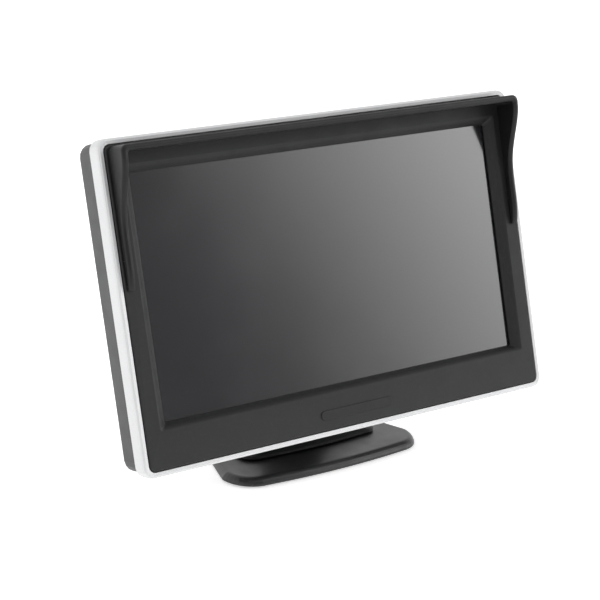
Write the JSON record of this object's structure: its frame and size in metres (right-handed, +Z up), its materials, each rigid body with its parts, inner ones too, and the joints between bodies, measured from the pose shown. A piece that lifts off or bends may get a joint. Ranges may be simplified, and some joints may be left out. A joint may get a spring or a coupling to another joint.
{
  "type": "dashboard monitor",
  "caption": "Five-inch reversing-camera monitor with a silver trim ring and clip-on sun hood, on a swivelling and tilting dashboard foot.",
  "frame": {"origin": "centre of the adhesive pad's underside, where the foot meets the dashboard", "axes": "+Z up, +X to the right as the viewer sees the screen, +Y away from the viewer; the screen leans back 13.7 degrees at rest"},
  "size_m": [0.1284, 0.0547, 0.0977],
  "materials": {
    "stand_plastic": "satin moulded ABS",
    "foam": "closed-cell foam",
    "zinc_steel": "zinc plated",
    "nylon": "natural nylon",
    "casing_plastic": "satin dark grey",
    "bezel_plastic": "fine matte texture",
    "trim_silver": "silver paint, satin",
    "screen_glass": "dark display panel",
    "backlight": "white tray with a foil back",
    "circuit_board": "green solder mask",
    "chip_resin": "moulded resin",
    "flex_film": "amber film",
    "key_rubber": "matte",
    "hood_plastic": "fine matte texture"
  },
  "bodies": {
    "foot": {"foot_plate": "stand_plastic", "adhesive_pad": "foam", "swivel_washer": "nylon"},
    "neck": {"neck": "stand_plastic", "swivel_screw": "zinc_steel", "hinge_bolt": "zinc_steel", "hinge_nut": "zinc_steel", "friction_washer_left": "nylon", "friction_washer_right": "nylon"},
    "hood": {"sun_hood": "hood_plastic"},
    "key_power": {"key_power": "key_rubber"},
    "key_menu": {"key_menu": "key_rubber"},
    "key_down": {"key_down": "key_rubber"},
    "key_up": {"key_up": "key_rubber"},
    "head": {"backlight_tray": "backlight", "board_screw_1": "zinc_steel", "board_screw_2": "zinc_steel", "board_screw_3": "zinc_steel", "board_screw_4": "zinc_steel", "cable_socket": "nylon", "capacitor_1": "zinc_steel", "capacitor_2": "zinc_steel", "capacitor_3": "zinc_steel", "case_screw_left": "zinc_steel", "case_screw_right": "zinc_steel", "decoder_chip": "chip_resin", "front_bezel": "bezel_plastic", "lcd_glass": "screen_glass", "lcd_ribbon": "flex_film", "main_board": "circuit_board", "power_inductor": "chip_resin", "rear_casing": "casing_plastic", "ribbon_connector": "nylon", "scaler_chip": "chip_resin", "screen_gasket": "foam", "socket_contact_1": "zinc_steel", "socket_contact_2": "zinc_steel", "socket_contact_3": "zinc_steel", "socket_contact_4": "zinc_steel", "switch_down": "chip_resin", "switch_menu": "chip_resin", "switch_power": "chip_resin", "switch_up": "chip_resin", "tilt_bracket": "casing_plastic", "trim_ring": "trim_silver"}
  },
  "joints": [
    {"name": "swivel", "type": "hinge", "parent": "foot", "child": "neck", "pos_m": [0, 0, 0.0025], "axis": [0, 0, 1], "range_deg": [-45, 45]},
    {"name": "tilt", "type": "hinge", "parent": "neck", "child": "head", "pos_m": [0, 0.002, 0.0299], "axis": [1, 0, 0], "range_deg": [-31, 18]},
    {"name": "hood_pull_off", "type": "slide", "parent": "head", "child": "hood", "axis": [0, -0.9715, 0.2372], "range_m": [0, 0.03]},
    {"name": "key_power_press", "type": "slide", "parent": "head", "child": "key_power", "axis": [0, -0.9715, 0.2372], "range_m": [0, 0.0007], "stiffness_N_per_m": 800},
    {"name": "key_menu_press", "type": "slide", "parent": "head", "child": "key_menu", "axis": [0, -0.9715, 0.2372], "range_m": [0, 0.0007], "stiffness_N_per_m": 800},
    {"name": "key_down_press", "type": "slide", "parent": "head", "child": "key_down", "axis": [0, -0.9715, 0.2372], "range_m": [0, 0.0007], "stiffness_N_per_m": 800},
    {"name": "key_up_press", "type": "slide", "parent": "head", "child": "key_up", "axis": [0, -0.9715, 0.2372], "range_m": [0, 0.0007], "stiffness_N_per_m": 800}
  ]
}
